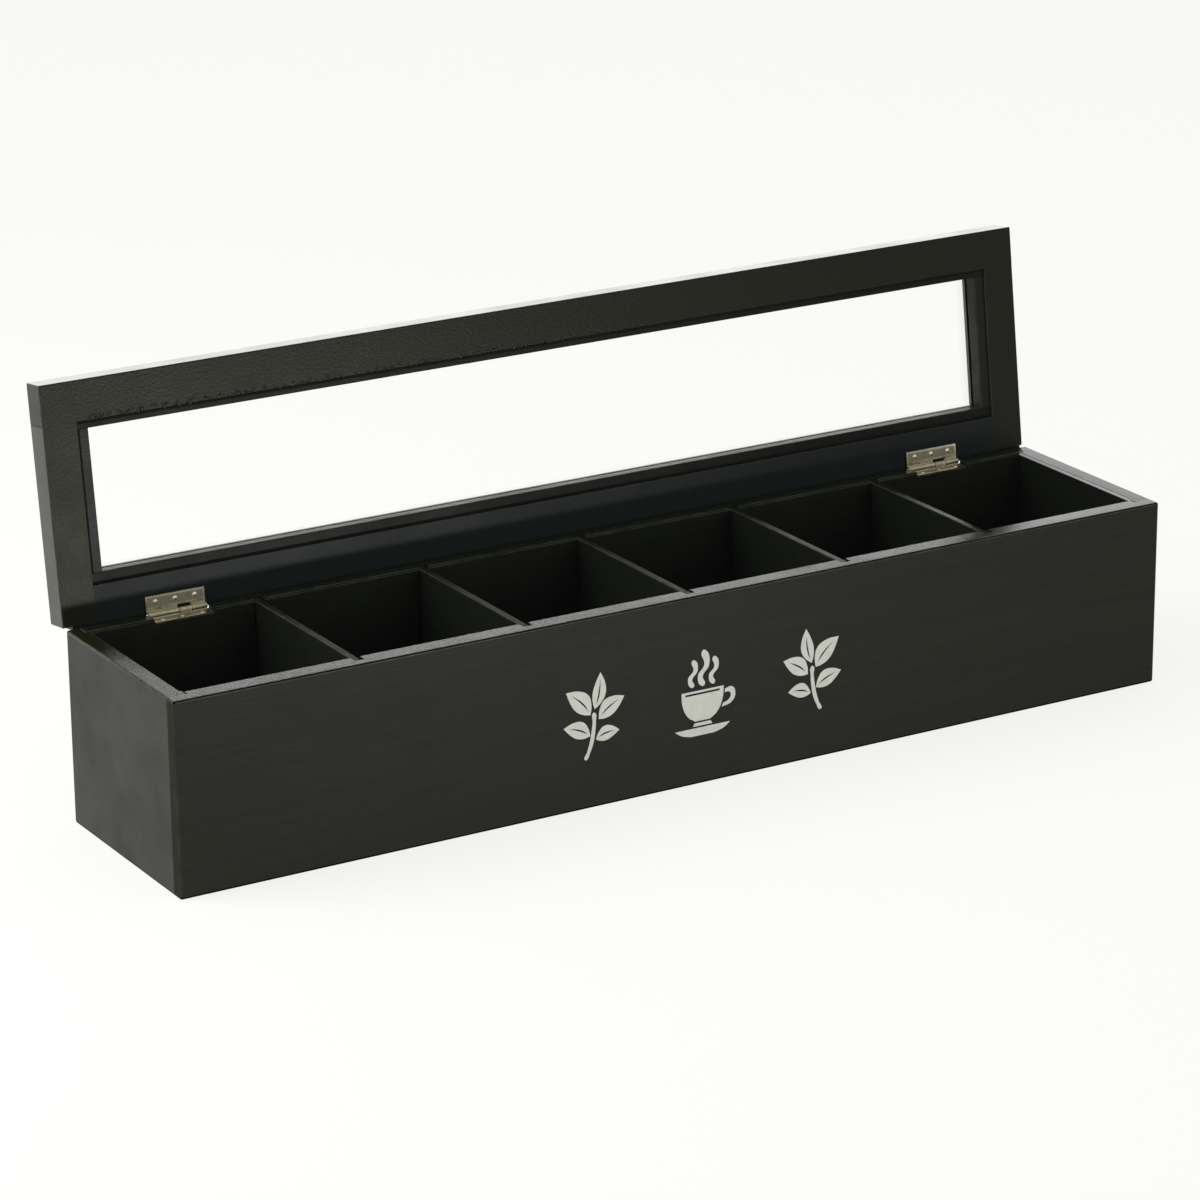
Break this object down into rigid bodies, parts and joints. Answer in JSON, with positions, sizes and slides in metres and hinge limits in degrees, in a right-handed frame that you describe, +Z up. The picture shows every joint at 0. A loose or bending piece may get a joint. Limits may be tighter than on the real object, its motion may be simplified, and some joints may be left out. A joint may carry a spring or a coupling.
{
  "type": "tea bag organizer box",
  "caption": "Long black wooden tea bag box: one row of open compartments between grooved dividers, under a hinged lid with a glass window.",
  "frame": {"origin": "centre of the flat underside of the box", "axes": "+X along the box to the right, +Y from the front to the hinged back, +Z up; the lid is stored standing open"},
  "size_m": [0.43, 0.1144, 0.1643],
  "materials": {
    "box_paint": "satin black paint over fine-grained board",
    "inside_paint": "matt black stain over thin board",
    "lid_paint": "satin black paint, faintly grained",
    "bead_paint": "satin black paint, brushed on by hand",
    "window_glass": "clear float glass",
    "hinge_nickel": "dull nickel plate, slightly tarnished",
    "pin_and_screw_nickel": "bright nickel plate",
    "front_print": "thin matt pale grey print"
  },
  "bodies": {
    "box": {"front_board": "box_paint", "back_board": "box_paint", "left_end_board": "box_paint", "right_end_board": "box_paint", "bottom_panel": "inside_paint", "divider_1": "inside_paint", "divider_2": "inside_paint", "divider_3": "inside_paint", "divider_4": "inside_paint", "divider_5": "inside_paint", "left_box_leaf": "hinge_nickel", "right_box_leaf": "hinge_nickel", "left_hinge_pin": "pin_and_screw_nickel", "right_hinge_pin": "pin_and_screw_nickel", "box_leaf_screws": "pin_and_screw_nickel"},
    "lid": {"lid_front_rail": "lid_paint", "lid_rear_rail": "lid_paint", "lid_left_stile": "lid_paint", "lid_right_stile": "lid_paint", "glass_pane": "window_glass", "front_bead": "bead_paint", "rear_bead": "bead_paint", "left_bead": "bead_paint", "right_bead": "bead_paint", "left_lid_leaf": "hinge_nickel", "right_lid_leaf": "hinge_nickel", "lid_leaf_screws": "pin_and_screw_nickel"}
  },
  "joints": [
    {"name": "lid_hinge", "type": "hinge", "parent": "box", "child": "lid", "pos_m": [0, 0.04605, 0.07405], "axis": [1, 0, 0], "range_deg": [0, 97.5]}
  ]
}
